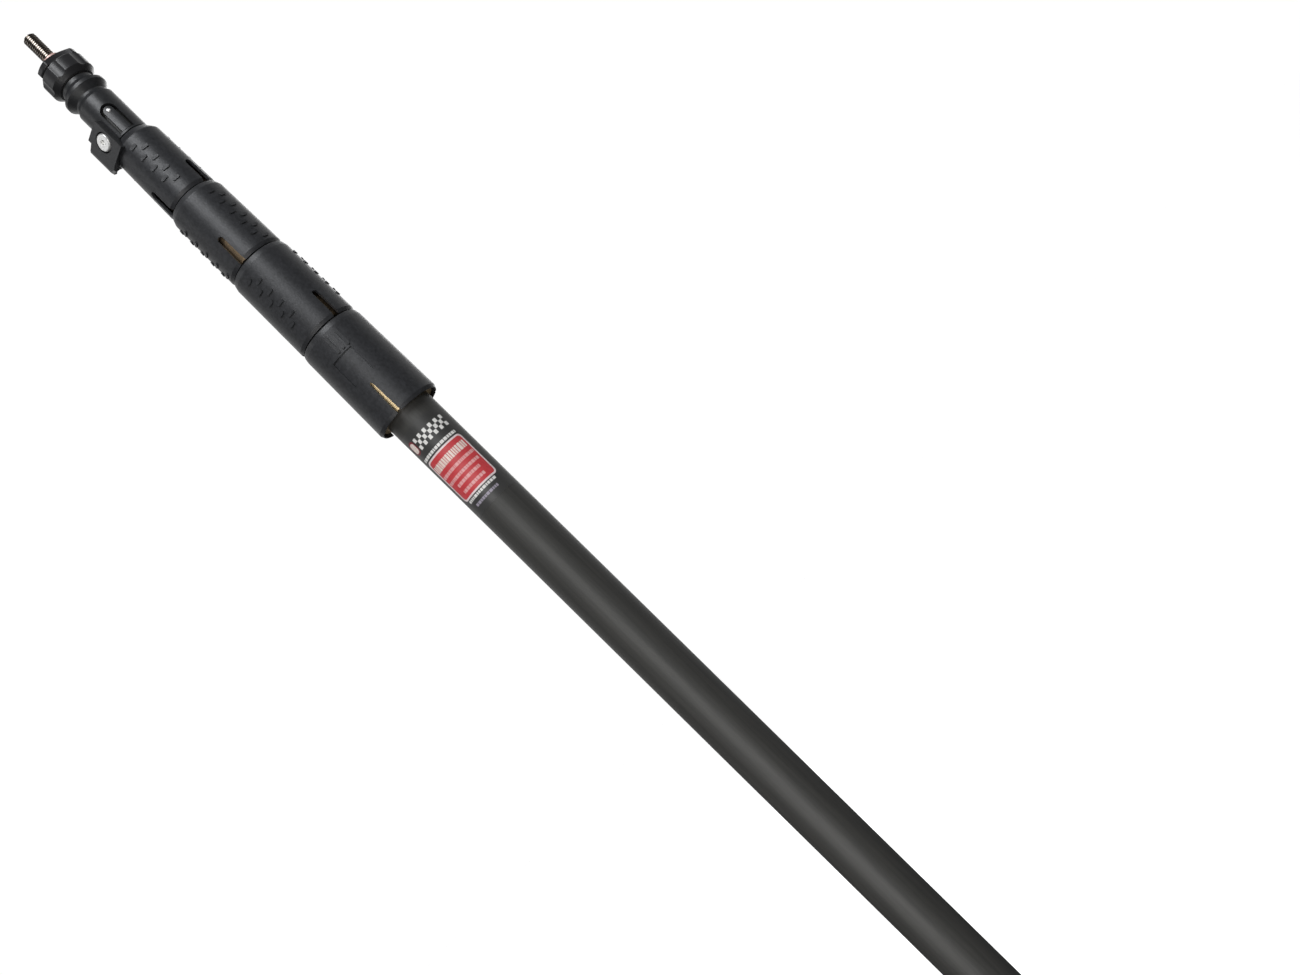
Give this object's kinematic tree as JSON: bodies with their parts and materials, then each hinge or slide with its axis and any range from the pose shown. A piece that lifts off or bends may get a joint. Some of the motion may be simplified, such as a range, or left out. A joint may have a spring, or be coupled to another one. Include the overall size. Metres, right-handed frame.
{
  "type": "telescopic boom pole",
  "caption": "Closed telescopic pole with nested carbon tubes, stacked twist-lock collars, side cable clip and a threaded tip stud.",
  "frame": {"origin": "centre of the rubber foot's flat underside", "axes": "+Z along the pole from the foot to the tip stud, -X towards the cable clip, -Y the side with the label"},
  "size_m": [0.0502, 0.0495, 1.07],
  "materials": {
    "carbon_tube": "matt charcoal carbon-fibre tube",
    "collar_nylon": "fine-textured black moulded nylon",
    "head_nylon": "satin black moulded nylon",
    "knob_nylon": "satin black moulded nylon",
    "seal_rubber": "black rubber",
    "foot_rubber": "matt black rubber",
    "ferrule_gold": "threaded aluminium, anodised gold",
    "insert_brass": "turned brass",
    "acetal": "natural acetal",
    "stud_steel": "bright threaded stainless steel",
    "spring_steel": "blued spring steel",
    "insert_aluminium": "turned aluminium",
    "washer_copper": "pale coppery washer",
    "screw_chrome": "bright plated steel",
    "label_film": "printed film"
  },
  "bodies": {
    "main_pole": {"main_tube": "carbon_tube", "rubber_foot": "foot_rubber", "base_plug": "head_nylon", "label": "label_film", "collet_ferrule_1": "ferrule_gold", "split_olive_1": "acetal"},
    "collar_1": {"locking_collar_1": "collar_nylon", "wiper_ring_1": "seal_rubber"},
    "section_2": {"section_2_tube": "carbon_tube", "guide_bush_2": "acetal", "collet_ferrule_2": "ferrule_gold", "split_olive_2": "acetal"},
    "collar_2": {"locking_collar_2": "collar_nylon", "wiper_ring_2": "seal_rubber"},
    "section_3": {"section_3_tube": "carbon_tube", "guide_bush_3": "acetal", "collet_ferrule_3": "ferrule_gold", "split_olive_3": "acetal"},
    "collar_3": {"locking_collar_3": "collar_nylon", "wiper_ring_3": "seal_rubber"},
    "section_4": {"section_4_tube": "carbon_tube", "guide_bush_4": "acetal", "collet_ferrule_4": "ferrule_gold", "split_olive_4": "acetal"},
    "collar_4": {"locking_collar_4": "collar_nylon", "wiper_ring_4": "seal_rubber"},
    "section_5": {"section_5_tube": "carbon_tube", "guide_bush_5": "acetal", "head_sleeve": "head_nylon", "head_insert": "insert_aluminium", "thrust_washer": "acetal", "cable_clip": "head_nylon", "clip_screw": "screw_chrome", "clip_insert": "insert_brass"},
    "spindle": {"tip_stud": "stud_steel", "thumb_knob": "knob_nylon", "retaining_clip": "spring_steel"},
    "nut_washer": {"nut_washer": "washer_copper"},
    "lock_nut": {"lock_nut": "knob_nylon"},
    "tongue": {"release_tongue": "head_nylon", "tongue_pin": "screw_chrome"}
  },
  "joints": [
    {"name": "section_2_slide", "type": "slide", "parent": "main_pole", "child": "section_2", "axis": [0, 0, 1], "range_m": [0, 0.7]},
    {"name": "collar_1_twist", "type": "hinge", "parent": "main_pole", "child": "collar_1", "pos_m": [0, 0, 0.7493], "axis": [0, 0, 1], "range_deg": [0, 90]},
    {"name": "section_3_slide", "type": "slide", "parent": "section_2", "child": "section_3", "axis": [0, 0, 1], "range_m": [0, 0.765]},
    {"name": "collar_2_twist", "type": "hinge", "parent": "section_2", "child": "collar_2", "pos_m": [0, 0, 0.8166], "axis": [0, 0, 1], "range_deg": [0, 90]},
    {"name": "section_4_slide", "type": "slide", "parent": "section_3", "child": "section_4", "axis": [0, 0, 1], "range_m": [0, 0.828]},
    {"name": "collar_3_twist", "type": "hinge", "parent": "section_3", "child": "collar_3", "pos_m": [0, 0, 0.8778], "axis": [0, 0, 1], "range_deg": [0, 90]},
    {"name": "section_5_slide", "type": "slide", "parent": "section_4", "child": "section_5", "axis": [0, 0, 1], "range_m": [0, 0.885]},
    {"name": "collar_4_twist", "type": "hinge", "parent": "section_4", "child": "collar_4", "pos_m": [0, 0, 0.9376], "axis": [0, 0, 1], "range_deg": [0, 90]},
    {"name": "stud_turn", "type": "hinge", "parent": "section_5", "child": "spindle", "pos_m": [0, 0, 1.03], "axis": [0, 0, 1], "continuous": true},
    {"name": "lock_nut_turn", "type": "hinge", "parent": "nut_washer", "child": "lock_nut", "pos_m": [0, 0, 1.041], "axis": [0, 0, 1], "range_deg": [0, 1801]},
    {"name": "lock_nut_lift", "type": "slide", "parent": "spindle", "child": "nut_washer", "axis": [0, 0, 1], "range_m": [0, 0.00794]},
    {"name": "tongue_press", "type": "hinge", "parent": "section_5", "child": "tongue", "pos_m": [0.00368, -0.01205, 0.9709], "axis": [-0.9563, -0.2924, 0], "range_deg": [0, 3.5], "stiffness_Nm_per_rad": 1.2}
  ],
  "couplings": [
    {"joint": "lock_nut_turn", "follows": "lock_nut_lift", "rad_per_m": 3957.9}
  ]
}
